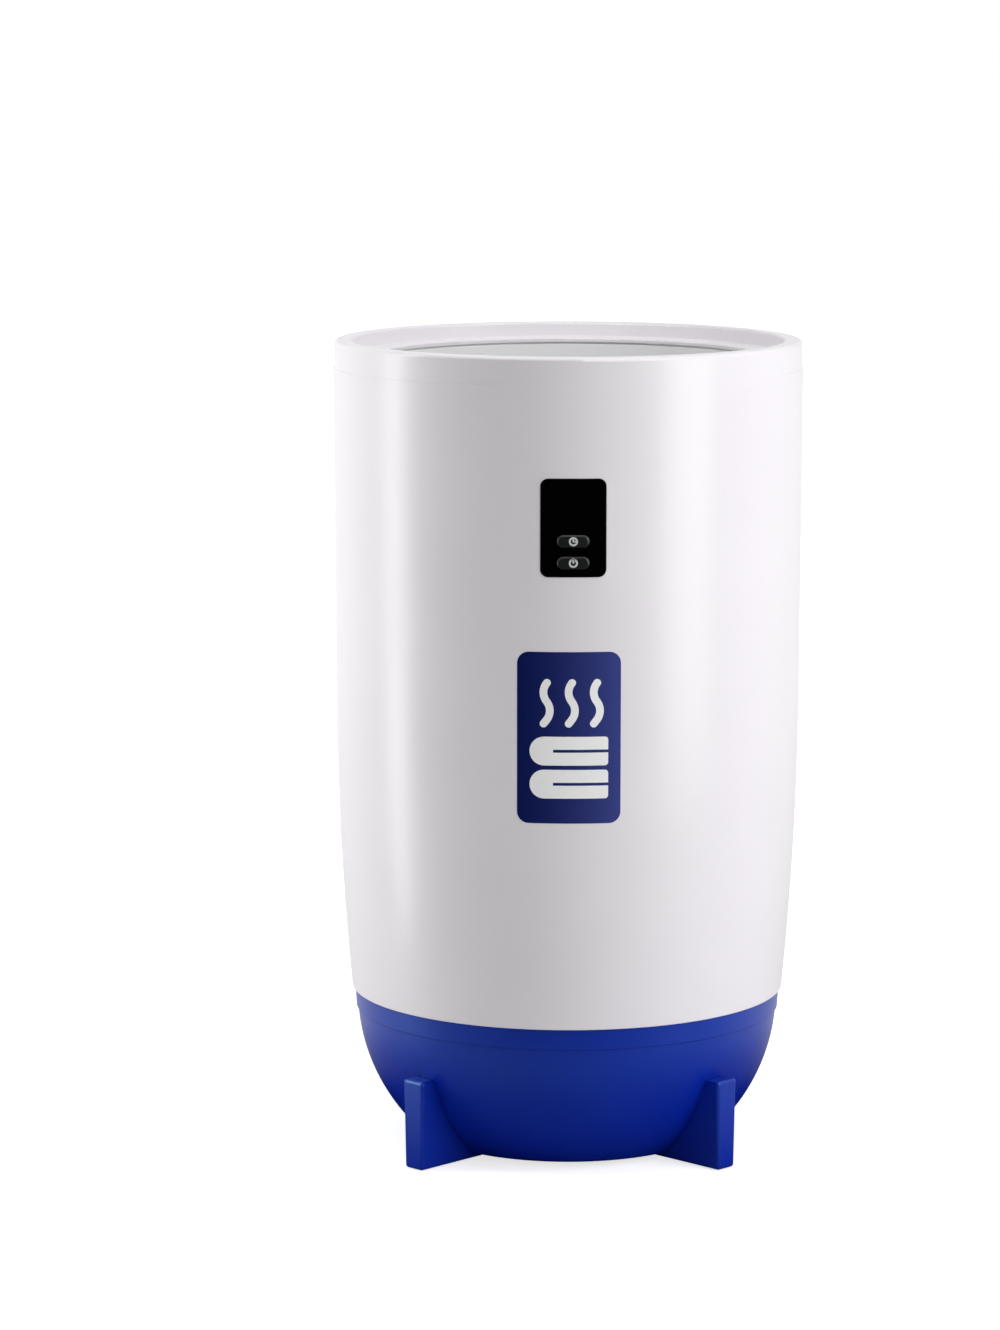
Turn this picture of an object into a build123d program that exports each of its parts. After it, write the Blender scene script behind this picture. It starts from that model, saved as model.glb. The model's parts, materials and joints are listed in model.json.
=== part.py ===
from build123d import *
import math
import os

# Towel warmer bucket. Front is -Y, up is +Z, and the origin is on the floor under the middle of the body.
# Lengths are in millimetres and angles in degrees.

# Body: a white shell, straight above and gently curved in towards its foot
total_height = 505.0
shell_top_radius = 145.8
shell_foot = 97.0
shell_draft = 0.25
shell_curve_height = 183.0
shell_curve_radius = 2000.0
shell_wall = 2.5
shell_foot_round = 0.8

# Collar at the rim, with a recess for the lid
collar_height = 17.0
collar_inset = 0.6
collar_wall = 2.5
collar_spigot = 10.0
collar_outer_round = 2.2
collar_inner_round = 1.5
rim_width = 11.2
lid_recess = 9.0
ledge_cover = 0.6
ledge_round = 0.8
spigot_round = 0.8

# Heated chamber
chamber_gap = 27.8
liner_lift = 21.3
liner_wall = 1.2
liner_corner = 12.0
liner_lip = 1.0
gasket_thickness = 1.0
gasket_width = 10.0
gasket_inset = 1.0
wrap_thickness = 0.8
wrap_top_gap = 61.3
wrap_bottom_gap = 28.0
wrap_opening = 24.0
wrap_foot_band = 20.0
sleeve_thickness = 6.0
sleeve_top_gap = 22.0
pad_insulation_thickness = 8.0
pad_insulation_inset = 2.0
heater_clip_size = (6.0, 4.0, 9.0)
heater_clip_spacing = 10.0
clip_overlap = 1.0
thermostat_radius = 8.0
thermostat_height = 9.0
thermostat_base = 3.0
thermostat_step = 1.0
thermostat_tab = (4.0, 0.8, 4.0)
thermostat_place = (38.0, -30.0)
fuse_radius = 2.2
fuse_length = 12.0
fuse_end = 1.5
fuse_end_radius = 0.9
fuse_place = (-38.0, -30.0)

# Base ring between the shell and the bowl
band_height = 13.0
band_reveal = 1.6
band_step = 1.0
band_lean = 4.0
band_edge_round = 0.5
ring_wall = 2.5
ring_shelf = 3.0
ring_shelf_width = 13.5
ring_shelf_round = 1.0
ring_upper_spigot = 10.0
ring_lower_spigot = 8.0

# Bowl
bowl_side_radius = 117.0
bowl_corner_radius = 12.0
bowl_clearance = 2.5
bowl_wall = 3.0
column_circle = 66.0
column_radius = 7.0
column_drop = 24.0

# Legs and foot pads
leg_count = 4
leg_height = 56.4
leg_overhang = 1.2
leg_lean = 0.3
leg_top_width = 17.0
leg_foot_width = 14.8
leg_round = 2.0
leg_inner_reach = 54.0
pad_length = 26.0
pad_width = 9.0
pad_depth = 1.5
pad_proud = 0.4
pad_chamfer = 0.3

# Deck that carries the liner
deck_thickness = 2.5
deck_post_count = 6
deck_post_radius = 5.0
deck_post_inset = 23.0
deck_rib_thickness = 2.0
deck_rib_depth = 12.0
deck_ring_height = 6.0

# Front panel with two buttons
panel_width = 39.2
panel_height = 58.8
panel_corner = 4.7
panel_drop = 100.85
panel_proud = 0.4
panel_wall = 2.6
panel_skirt = 1.8
panel_flange = 3.0
panel_flange_thickness = 2.0
panel_edge_round = 0.4
button_length = 19.8
button_width = 7.9
button_proud = 1.0
button_round = 1.8
button_pitch = 12.9
button_drop = 7.95
button_lip = 1.0
button_lip_thickness = 1.0
button_post_radius = 2.0
button_post_length = 1.7
button_stop_gap = 0.3
button_travel = 0.6

# Control board behind the panel
plunger_radius = 1.75
plunger_length = 4.0
plunger_proud = 1.8
plunger_depth_spare = 0.3
plunger_chamfer = 0.3
switch_width = 6.2
switch_depth = 3.5
switch_chamfer = 0.5
switch_tab = (1.0, 1.0, 0.5)
control_board_width = 54.0
control_board_height = 62.0
control_board_corner = 2.0
board_thickness = 1.6
board_screw_inset = 3.6
display_width = 27.0
display_height = 17.0
display_rise = 13.0
display_rim = 1.5
display_sink = 1.0
bracket_width = 78.0
bracket_height = 64.0
bracket_thickness = 2.0
bracket_corner = 5.0
bracket_opening = (34.0, 42.0)
bracket_opening_corner = 3.0
bracket_screw_x = 33.0
bracket_screw_z = 23.0
bracket_boss_radius = 3.2
connector_size = (12.0, 5.6, 8.0)
connector_drop = 16.0
harness_radius = 1.5
lead_radius = 1.2
wire_bend = 12.0
lead_bend = 10.0
wire_gap = 0.6
wire_inset = 9.0
wire_fall = 18.0
wire_slope = 15.0

# Power board in the bowl
power_board_size = (96.0, 70.0)
power_board_corner = 3.0
standoff_height = 6.5
standoff_radius = 4.0
standoff_inset = 6.0
relay_size = (19.0, 15.5, 15.0)
relay_place = (-32.0, -4.0)
relay_round = 0.8
transformer_size = (30.0, 20.0, 26.0)
transformer_place = (27.0, -2.0)
transformer_window = (21.0, 13.0)
winding_radius = 9.9
capacitor_radius = 7.0
capacitor_height = 20.0
capacitor_place = (-6.0, 2.0)
capacitor_round = 1.0
terminal_size = (22.0, 10.0, 12.0)
power_connector_size = (12.0, 6.0, 9.0)
board_edge_gap = 5.0

# Cord gland at the rear
gland_drop = 18.0
gland_bore = 3.5
gland_shank_radius = 6.0
gland_flange_radius = 8.5
gland_flange = 2.0
gland_sleeve = 9.5
gland_sleeve_tip = 4.8
gland_round = 0.8
gland_tip_round = 0.4
gland_groove_count = 3
gland_groove_start = 2.8
gland_groove_pitch = 2.1
gland_groove_width = 0.9
gland_groove_depth = 0.4
gland_lock_radius = 7.5
gland_lock = 3.0
gland_pad_radius = 9.5
gland_pad_proud = 3.0

# Fasteners: shank radius, shank length, head radius and head height.
# A leg screw's length here is its bite in the leg.
liner_screw = (1.4, 7.0, 2.7, 1.8)
ring_screw = (1.6, 14.0, 3.4, 2.2)
bowl_screw = (1.75, 16.0, 3.7, 2.4)
leg_screw = (1.75, 11.0, 3.5, 2.2)
bracket_screw = (1.2, 6.5, 2.6, 1.7)
board_screw = (1.0, 3.2, 2.1, 1.4)
power_screw = (1.3, 6.0, 2.7, 1.6)
liner_screw_count = 6
ring_screw_count = 6
leg_screw_heights = (21.0, 42.0)
head_round_share = 0.45
recess_width_share = 0.28
recess_depth_share = 0.5
leg_pad_radius = 5.0
pad_stand = 0.5
boss_wall = 2.4
boss_spare = 2.0
tip_gap = 0.5
head_spare = 0.5
web_thickness = 3.0

# Clearances
spigot_gap = 0.2
seat_gap = 0.3
slip_gap = 0.1
thread_gap = 0.05
hole_gap = 0.25
button_gap = 0.2
window_gap = 0.15
switch_gap = 0.06
cut_past = 5.0

# Body heights and radii that follow
draft = math.radians(shell_draft)
lean = math.radians(band_lean)
shell_top = total_height - collar_height
shell_bend = shell_foot + shell_curve_height
bend_radius_out = shell_top_radius - (shell_top - shell_bend) * math.tan(draft)
curve_centre_r = bend_radius_out - shell_curve_radius * math.cos(draft)
curve_centre_z = shell_bend + shell_curve_radius * math.sin(draft)


def body_radius(height, inset=0.0):
    # Radius of the body's surface at a height, moved into the wall by inset
    if height >= shell_bend:
        return shell_top_radius - (shell_top - height) * math.tan(draft) - inset / math.cos(draft)
    rise = curve_centre_z - height
    return curve_centre_r + math.sqrt((shell_curve_radius - inset) ** 2 - rise ** 2)


band_top_radius = body_radius(shell_foot) - band_reveal
band_foot = shell_foot - band_height
band_foot_radius = band_top_radius - band_height * math.tan(lean)
bowl_top_radius = band_foot_radius - band_step
bowl_centre_r = bowl_top_radius - bowl_side_radius * math.cos(lean)
bowl_centre_z = band_foot + bowl_side_radius * math.sin(lean)
corner_z = bowl_clearance + bowl_corner_radius
corner_reach = bowl_side_radius - bowl_corner_radius
corner_r = bowl_centre_r + math.sqrt(corner_reach ** 2 - (bowl_centre_z - corner_z) ** 2)
corner_turn = math.atan2(bowl_centre_z - corner_z, corner_r - bowl_centre_r)


def bowl_radius(height, inset=0.0):
    # Radius of the bowl's side at a height, moved into the wall by inset
    return bowl_centre_r + math.sqrt((bowl_side_radius - inset) ** 2 - (height - bowl_centre_z) ** 2)


def leg_pad_face(height):
    # The flat pad inside the bowl wall that a leg screw's head sits on, as a distance from the axis
    return bowl_radius(height - leg_pad_radius, bowl_wall) - pad_stand


def leg_screw_at(height):
    # A leg screw's sizes: its shank crosses the bowl wall from the flat pad before it bites into the leg
    length = bowl_radius(height) - leg_pad_face(height) + leg_screw[1]
    return (leg_screw[0], length, leg_screw[2], leg_screw[3])


# Chamber
liner_radius = shell_top_radius - chamber_gap
liner_outer = liner_radius + liner_wall
ledge_top = total_height - lid_recess
ledge_foot = ledge_top - collar_wall
flange_top = ledge_foot - gasket_thickness
flange_foot = flange_top - liner_wall
deck_top = shell_foot + deck_thickness
liner_under = deck_top + liner_lift
liner_floor = liner_under + liner_wall
collar_radius = shell_top_radius - collar_inset
mouth_radius = collar_radius - rim_width
spigot_radius = body_radius(shell_top - collar_spigot, shell_wall) - spigot_gap
spigot_inner = spigot_radius - collar_wall
liner_screw_circle = spigot_inner - liner_screw[2] - seat_gap - 2 * head_spare
flange_radius = spigot_inner - seat_gap
wrap_inner = liner_outer + slip_gap
wrap_outer = wrap_inner + wrap_thickness
wrap_foot = liner_floor + wrap_bottom_gap
wrap_top = flange_foot - wrap_top_gap
sleeve_inner = wrap_outer + seat_gap
sleeve_outer = sleeve_inner + sleeve_thickness
clip_foot = wrap_foot - heater_clip_size[2] + clip_overlap
sleeve_foot = clip_foot + heater_clip_size[2] + seat_gap
sleeve_top = flange_foot - sleeve_top_gap

# Base ring and deck
upper_spigot_radius = body_radius(shell_foot, shell_wall) - spigot_gap
upper_spigot_inner = upper_spigot_radius - ring_wall
lower_spigot_foot = band_foot - ring_lower_spigot
lower_spigot_radius = bowl_radius(lower_spigot_foot, bowl_wall) - spigot_gap
lower_spigot_inner = lower_spigot_radius - ring_wall
shelf_inner = lower_spigot_inner - ring_shelf_width
shelf_foot = shell_foot - ring_shelf
ring_screw_circle = lower_spigot_inner - ring_screw[2] - seat_gap - head_spare
deck_radius = upper_spigot_inner - seat_gap
post_circle = liner_radius - deck_post_inset
insulation_foot = liner_under - slip_gap - pad_insulation_thickness
insulation_radius = liner_radius - liner_corner - pad_insulation_inset

# Depths of the control stack, as distances in front of the axis
panel_middle = total_height - panel_drop
face_radius = body_radius(panel_middle)
lens_back = face_radius - panel_wall
lip_front = lens_back - button_stop_gap
lip_back = lip_front - button_lip_thickness
plunger_front = lip_back - button_post_length
switch_front = plunger_front - plunger_proud
plunger_back = plunger_front - plunger_length
board_front = switch_front - switch_depth
board_back = board_front - board_thickness
bracket_back = board_back - bracket_thickness
flange_edge = panel_width / 2 + panel_flange
panel_flange_back = math.sqrt((face_radius - shell_wall) ** 2 - flange_edge ** 2) - panel_flange_thickness
timer_height = panel_middle - button_drop
power_height = timer_height - button_pitch
display_middle = panel_middle + display_rise
connector_middle = panel_middle - connector_drop
harness_front = bracket_back - wire_gap - harness_radius

# Gland and wires
gland_height = band_foot - gland_drop
gland_seat = bowl_radius(gland_height) + gland_pad_proud
gland_inside = bowl_radius(gland_height - gland_pad_radius, bowl_wall) - pad_stand
wire_shelf = insulation_foot - 3 * harness_radius
wire_drop_y = shelf_inner - wire_inset
wire_turn = band_foot - wire_fall
wire_end_turn = wire_turn - wire_slope

# Power board
floor_inside = bowl_clearance + bowl_wall
power_board_foot = floor_inside + standoff_height
power_board_top = power_board_foot + board_thickness
board_edge_y = power_board_size[1] / 2 - board_edge_gap

# Bowl columns and legs
column_top = band_foot - column_drop
leg_top_radius = body_radius(shell_foot) + leg_overhang
leg_foot_radius = leg_top_radius - (leg_height - pad_proud) * math.tan(math.radians(leg_lean))
leg_inner_radius = leg_top_radius - leg_inner_reach
pad_middle = (leg_foot_radius + leg_inner_radius) / 2

os.makedirs("parts", exist_ok=True)


def save(name, *solids):
    # One node: a single solid, or a group of separate solids
    shape = solids[0] if len(solids) == 1 else Compound(children=list(solids))
    export_step(shape, "parts/" + name + ".step")


def turned(points, radii=None):
    # A closed outline of radius and height, revolved about the body's axis
    corners = radii if radii else [0] * len(points)
    outline = make_face(FilletPolyline(*points, radius=corners, close=True))
    return revolve(Plane.XZ * outline, Axis.Z)


def disc(radius, foot, top):
    return Pos(0, 0, foot) * Cylinder(radius, top - foot, align=(Align.CENTER, Align.CENTER, Align.MIN))


def tube(outer, inner, foot, top):
    return disc(outer, foot, top) - disc(inner, foot, top)


def block(size, place, foot):
    # A box standing at a height, centred on a place seen from above
    base = (Align.CENTER, Align.CENTER, Align.MIN)
    return Pos(place[0], place[1], foot) * Box(*size, align=base)


def forward(outline, near, far):
    # An outline of width and height, extruded towards the front between two distances from the axis
    return extrude(Plane.XZ.offset(near) * outline, amount=far - near)


def radial(outline, angle, near, far):
    # The same in the upright plane that faces out at an angle from +X
    return Rot(0, 0, angle + 90) * forward(outline, near, far)


def around(count, start=0.0):
    return [start + 360.0 * i / count for i in range(count)]


def on_circle(radius, angle):
    return (radius * math.cos(math.radians(angle)), radius * math.sin(math.radians(angle)))


def body_solid(inset, low, high):
    # The space inside the body's surface, moved in by inset, between two heights
    edges = []
    start = low
    if low < shell_bend:
        start = min(high, shell_bend)
        heights = (low, (low + start) / 2, start)
        edges.append(ThreePointArc(*[(body_radius(h, inset), h) for h in heights]))
    if high > start:
        edges.append(Line((body_radius(start, inset), start), (body_radius(high, inset), high)))
    ends = (body_radius(high, inset), body_radius(low, inset))
    edges.append(Polyline((ends[0], high), (0, high), (0, low), (ends[1], low)))
    return revolve(Plane.XZ * make_face(edges), Axis.Z)


def bowl_solid(inset, top):
    # The bowl's full form moved in by inset: flat bottom, rounded corner and one long curve up to the top
    side = bowl_side_radius - inset
    corner = bowl_corner_radius - inset
    half_corner = (corner_turn + math.pi / 2) / 2
    base = bowl_clearance + inset
    join = (bowl_centre_r + side * math.cos(corner_turn), bowl_centre_z - side * math.sin(corner_turn))
    corner_mid = (corner_r + corner * math.cos(half_corner), corner_z - corner * math.sin(half_corner))
    side_mid_z = (join[1] + top) / 2
    edges = [
        Line((0, base), (corner_r, base)),
        ThreePointArc((corner_r, base), corner_mid, join),
        ThreePointArc(join, (bowl_radius(side_mid_z, inset), side_mid_z), (bowl_radius(top, inset), top)),
        Polyline((bowl_radius(top, inset), top), (0, top), (0, base)),
    ]
    return revolve(Plane.XZ * make_face(edges), Axis.Z)


def screw(sizes):
    # A pan-head screw along +Z, with the head's underside at the origin and a cross recess in the head
    shank_radius, shank_length, head_radius, head_height = sizes
    profile = FilletPolyline(
        (0, -head_height), (head_radius, -head_height), (head_radius, 0), (shank_radius, 0),
        (shank_radius, shank_length), (0, shank_length),
        radius=[0, head_height * head_round_share, 0, 0, 0, 0], close=True)
    body = revolve(Plane.XZ * make_face(profile), Axis.Z)
    slot = (head_radius, head_radius * recess_width_share, head_height * recess_depth_share)
    for turn in (0, 90):
        body -= Rot(0, 0, turn) * block(slot, (0, 0), -head_height)
    return body


def bore(sizes, gap, length):
    # The hole for a screw's shank, along +Z from the head's underside
    return disc(sizes[0] + gap, -cut_past, length)


def upright(place, height):
    # A place for a screw that points up
    return Pos(place[0], place[1], height)


def downward(place, height):
    # A place for a screw that points down
    return Pos(place[0], place[1], height) * Rot(180, 0, 0)


def to_front(x, height, distance):
    # A place for a screw that points to the front, with its head's underside at a distance before the axis
    return Pos(x, -distance, height) * Rot(90, 0, 0)


def outwards(angle, radius, height):
    # A place for a screw that points out from the axis
    return Rot(0, 0, angle) * Pos(radius, 0, height) * Rot(0, 90, 0)


def wire(points, bend, radius):
    # A wire along straight runs joined by arcs
    route = FilletPolyline(*points, radius=bend)
    start = Plane(origin=points[0], z_dir=route % 0)
    return sweep(start * Circle(radius), path=route)


liner_screw_places = [on_circle(liner_screw_circle, a) for a in around(liner_screw_count, 30)]
ring_screw_places = [on_circle(ring_screw_circle, a) for a in around(ring_screw_count)]
leg_angles = around(leg_count, 45)
column_places = [on_circle(column_circle, a) for a in leg_angles]
post_places = [on_circle(post_circle, a) for a in around(deck_post_count)]
bracket_places = [(x, panel_middle + z) for x in (-bracket_screw_x, bracket_screw_x)
                  for z in (-bracket_screw_z, bracket_screw_z)]
board_screw_x = control_board_width / 2 - board_screw_inset
board_screw_z = control_board_height / 2 - board_screw_inset
board_screw_places = [(x, panel_middle + z) for x in (-board_screw_x, board_screw_x)
                      for z in (-board_screw_z, board_screw_z)]
standoff_x = power_board_size[0] / 2 - standoff_inset
standoff_y = power_board_size[1] / 2 - standoff_inset
standoff_places = [(x, y) for x in (-standoff_x, standoff_x) for y in (-standoff_y, standoff_y)]


def panel_outline(grow=0.0):
    return Pos(0, panel_middle) * RectangleRounded(
        panel_width + 2 * grow, panel_height + 2 * grow, panel_corner + grow)


def button_outline(height, grow=0.0):
    return Pos(0, height) * SlotOverall(button_length + 2 * grow, button_width + 2 * grow)


def make_outer_shell():
    shell = body_solid(0, shell_foot, shell_top)
    rims = shell.edges().filter_by(GeomType.CIRCLE).group_by(Axis.Z)[0]
    shell = fillet(rims, shell_foot_round)
    hollow = body_solid(shell_wall, shell_foot - cut_past, shell_top + cut_past)
    shell -= hollow
    envelope = body_solid(shell_wall / 2, shell_foot, shell_top)
    for x, z in bracket_places:
        boss = forward(Pos(x, z) * Circle(bracket_boss_radius), board_back, shell_top_radius)
        shell += boss & envelope
    boss_top = deck_top + ring_screw[1] + boss_spare
    web_foot = shell_foot + ring_upper_spigot + seat_gap
    for angle, place in zip(around(ring_screw_count), ring_screw_places):
        shell += Pos(*place) * disc(ring_screw[0] + boss_wall, deck_top, boss_top)
        reach = shell_top_radius - ring_screw_circle
        web = block((reach, web_thickness, boss_top - web_foot), (ring_screw_circle + reach / 2, 0), web_foot)
        shell += (Rot(0, 0, angle) * web) & envelope
    for x, z in bracket_places:
        shell -= to_front(x, z, bracket_back) * bore(bracket_screw, thread_gap, bracket_screw[1] + tip_gap)
    for place in ring_screw_places:
        shell -= upright(place, shelf_foot) * bore(ring_screw, thread_gap, ring_screw[1] + tip_gap)
    return shell - forward(panel_outline(window_gap), board_front, shell_top_radius + cut_past)


def make_top_collar():
    outline = [
        (collar_radius, shell_top), (collar_radius, total_height), (mouth_radius, total_height),
        (mouth_radius, ledge_top), (liner_radius - ledge_cover, ledge_top),
        (liner_radius - ledge_cover, ledge_foot), (mouth_radius + collar_wall, ledge_foot),
        (mouth_radius + collar_wall, total_height - collar_wall),
        (collar_radius - collar_wall, total_height - collar_wall), (spigot_inner, shell_top),
        (spigot_inner, shell_top - collar_spigot), (spigot_radius, shell_top - collar_spigot),
        (spigot_radius, shell_top)]
    rounds = [0] * len(outline)
    rounds[1:5] = [collar_outer_round, collar_inner_round, ledge_round, ledge_round]
    rounds[-2] = spigot_round
    collar = turned(outline, rounds)
    for place in liner_screw_places:
        boss = Pos(*place) * disc(liner_screw[0] + boss_wall, flange_top, total_height - collar_wall)
        collar += boss - disc(mouth_radius, ledge_foot, total_height)
    for place in liner_screw_places:
        collar -= upright(place, flange_foot) * bore(liner_screw, thread_gap, liner_screw[1] + tip_gap)
    return collar


def make_liner():
    outline = [
        (0, liner_under), (liner_outer, liner_under), (liner_outer, flange_foot),
        (flange_radius, flange_foot), (flange_radius, flange_top), (liner_radius, flange_top),
        (liner_radius, liner_floor), (0, liner_floor)]
    rounds = [0, liner_corner + liner_wall, liner_wall, 0, 0, liner_lip, liner_corner, 0]
    liner = turned(outline, rounds)
    for place in liner_screw_places:
        liner -= upright(place, flange_foot) * bore(liner_screw, hole_gap, 2 * liner_wall)
    return liner


def make_liner_gasket():
    inner = liner_radius + liner_lip + gasket_inset
    return tube(inner + gasket_width, inner, flange_top, ledge_foot)


def make_heating_wrap():
    wrap = tube(wrap_outer, wrap_inner, wrap_foot, wrap_top)
    gap = block((wrap_opening, wrap_outer, wrap_top - wrap_foot), (0, wrap_outer), wrap_foot)
    return wrap - (gap - disc(wrap_outer, wrap_foot, wrap_foot + wrap_foot_band))


def make_heater_clips():
    width, depth, height = heater_clip_size
    clips = []
    for side in (-1, 1):
        x = side * heater_clip_spacing / 2
        body = block((width, 2 * depth, height), (x, wrap_outer), clip_foot)
        clips.append(body - disc(wrap_outer + thread_gap, clip_foot, clip_foot + height))
    return clips


def make_insulation_sleeve():
    return tube(sleeve_outer, sleeve_inner, sleeve_foot, sleeve_top)


def make_floor_insulation():
    pad = disc(insulation_radius, insulation_foot, liner_under - slip_gap)
    for place in post_places:
        pad -= Pos(*place) * disc(deck_post_radius + hole_gap, insulation_foot, liner_under)
    pad -= Pos(*thermostat_place) * disc(thermostat_radius + seat_gap, insulation_foot, liner_under)
    fuse_bay = (fuse_length + 2 * seat_gap, 4 * fuse_radius, pad_insulation_thickness)
    return pad - block(fuse_bay, fuse_place, insulation_foot)


def make_thermostat():
    foot = liner_under - thermostat_height
    body = Pos(*thermostat_place) * disc(thermostat_radius, foot + thermostat_base, liner_under)
    body += Pos(*thermostat_place) * disc(thermostat_radius - thermostat_step, foot, foot + thermostat_base)
    for side in (-1, 1):
        tab_place = (thermostat_place[0], thermostat_place[1] + side * thermostat_radius / 2)
        body += block(thermostat_tab, tab_place, foot - thermostat_tab[2])
    return body


def make_thermal_fuse():
    pill = Cylinder(fuse_radius, fuse_length - 2 * fuse_end) + Cylinder(fuse_end_radius, fuse_length)
    return Pos(fuse_place[0], fuse_place[1], liner_under - fuse_radius) * Rot(0, 90, 0) * pill


def make_base_ring():
    outline = [
        (band_top_radius, shell_foot), (band_foot_radius, band_foot), (lower_spigot_radius, band_foot),
        (lower_spigot_radius, lower_spigot_foot), (lower_spigot_inner, lower_spigot_foot),
        (lower_spigot_inner, shelf_foot), (shelf_inner, shelf_foot), (shelf_inner, shell_foot),
        (upper_spigot_inner, shell_foot), (upper_spigot_inner, shell_foot + ring_upper_spigot),
        (upper_spigot_radius, shell_foot + ring_upper_spigot), (upper_spigot_radius, shell_foot)]
    rounds = [0, band_edge_round, 0, spigot_round, 0, ring_shelf_round, 0, 0, 0, 0, spigot_round, 0]
    ring = turned(outline, rounds)
    for place in ring_screw_places:
        ring -= upright(place, shelf_foot) * bore(ring_screw, hole_gap, ring_shelf + cut_past)
    return ring


def make_deck():
    deck = disc(deck_radius, shell_foot, deck_top)
    ring_radius = post_circle + deck_post_radius
    deck += tube(ring_radius, ring_radius - deck_rib_thickness, deck_top, deck_top + deck_ring_height)
    for place in post_places:
        deck += Pos(*place) * disc(deck_post_radius, deck_top, liner_under)
    for place in column_places:
        deck += Pos(*place) * disc(bowl_screw[0] + boss_wall, column_top, shell_foot)
    rib = (2 * (column_circle - bowl_screw[0]), deck_rib_thickness, deck_rib_depth)
    for angle in leg_angles:
        deck += Rot(0, 0, angle) * block(rib, (0, 0), shell_foot - deck_rib_depth)
    for place in ring_screw_places:
        deck -= upright(place, shell_foot) * bore(ring_screw, hole_gap, deck_thickness + cut_past)
    for place in column_places:
        deck -= upright(place, column_top) * bore(bowl_screw, thread_gap, bowl_screw[1] + tip_gap)
    front_slot = SlotOverall(8 * harness_radius, 4 * harness_radius)
    rear_slot = SlotOverall(heater_clip_spacing + 6 * lead_radius, 4 * lead_radius)
    deck -= extrude(Pos(0, -wire_drop_y, shell_foot) * front_slot, amount=deck_thickness)
    return deck - extrude(Pos(0, wire_drop_y, shell_foot) * rear_slot, amount=deck_thickness)


def make_base_bowl():
    envelope = bowl_solid(0, band_foot)
    bowl = envelope - bowl_solid(bowl_wall, band_foot + cut_past)
    for place in column_places:
        bowl += Pos(*place) * disc(column_radius, bowl_clearance, column_top)
    for place in standoff_places:
        bowl += Pos(*place) * disc(standoff_radius, bowl_clearance, power_board_foot)
    for angle in leg_angles:
        for height in leg_screw_heights:
            pad = Pos(0, height) * Circle(leg_pad_radius)
            bowl += radial(pad, angle, leg_pad_face(height), bowl_top_radius) & envelope
    bowl += radial(Pos(0, gland_height) * Circle(gland_pad_radius), 90, gland_inside, gland_seat)
    for place in column_places:
        bowl -= Pos(*place) * disc(bowl_screw[2] + head_spare, 0, column_top - bowl_wall)
        bowl -= upright(place, column_top - bowl_wall) * bore(bowl_screw, hole_gap, bowl_wall + cut_past)
    for place in standoff_places:
        bowl -= downward(place, power_board_top) * bore(power_screw, thread_gap, power_screw[1] + tip_gap)
    for angle in leg_angles:
        for height in leg_screw_heights:
            face = leg_pad_face(height)
            bowl -= outwards(angle, face, height) * bore(leg_screw, hole_gap, bowl_top_radius - face)
    hole = Pos(0, gland_height) * Circle(gland_shank_radius + hole_gap)
    return bowl - radial(hole, 90, gland_inside - cut_past, gland_seat + cut_past)


def make_leg(angle):
    side_view = Polyline(
        (leg_inner_radius, pad_proud), (leg_foot_radius, pad_proud), (leg_top_radius, leg_height),
        (leg_inner_radius, leg_height), close=True)
    slab = extrude(Plane.XZ * make_face(side_view), amount=leg_top_width, both=True)
    end_view = Polyline(
        (-leg_foot_width / 2, pad_proud), (leg_foot_width / 2, pad_proud), (leg_top_width / 2, leg_height),
        (-leg_top_width / 2, leg_height), close=True)
    bar = extrude(Plane.YZ * make_face(end_view), amount=leg_top_radius + cut_past)
    leg = slab & bar
    outer_face = leg.faces().sort_by(Axis.X)[-1]
    level_faces = leg.faces().filter_by(Axis.Z)
    sides = [e for e in level_faces.edges()
             if e.center().X < leg_top_radius - leg_round and abs(e.center().Y) > leg_round]
    leg = fillet(outer_face.edges() + sides, leg_round)
    leg -= bowl_solid(-slip_gap, leg_height + cut_past)
    recess = Pos(pad_middle, 0, pad_proud) * RectangleRounded(
        pad_length + 2 * slip_gap, pad_width + 2 * slip_gap, pad_width / 3)
    leg -= extrude(recess, amount=pad_depth)
    for height in leg_screw_heights:
        sizes = leg_screw_at(height)
        leg -= outwards(0, leg_pad_face(height), height) * bore(sizes, thread_gap, sizes[1] + tip_gap)
    return Rot(0, 0, angle) * leg


def make_foot_pads():
    outline = Pos(pad_middle, 0, 0) * RectangleRounded(pad_length, pad_width, pad_width / 3)
    pad = extrude(outline, amount=pad_proud + pad_depth)
    pad = chamfer(pad.faces().sort_by(Axis.Z)[0].edges(), pad_chamfer)
    return [Rot(0, 0, angle) * pad for angle in leg_angles]


def make_cord_gland():
    flange = gland_seat + gland_flange
    tip = flange + gland_sleeve
    lock = gland_inside - gland_lock
    outline = [
        (gland_bore, lock), (gland_lock_radius, lock), (gland_lock_radius, gland_inside),
        (gland_shank_radius, gland_inside), (gland_shank_radius, gland_seat),
        (gland_flange_radius, gland_seat), (gland_flange_radius, flange), (gland_shank_radius, flange),
        (gland_sleeve_tip, tip), (gland_bore, tip)]
    rounds = [0, gland_round, 0, 0, 0, 0, gland_round, gland_tip_round, gland_tip_round, 0]
    profile = make_face(FilletPolyline(*outline, radius=rounds, close=True))
    gland = revolve(Plane.XZ * profile, Axis.Z)
    for i in range(gland_groove_count):
        at = flange + gland_groove_start + i * gland_groove_pitch
        gland -= tube(gland_flange_radius, gland_sleeve_tip - gland_groove_depth, at, at + gland_groove_width)
    return Pos(0, 0, gland_height) * Rot(-90, 0, 0) * gland


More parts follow.
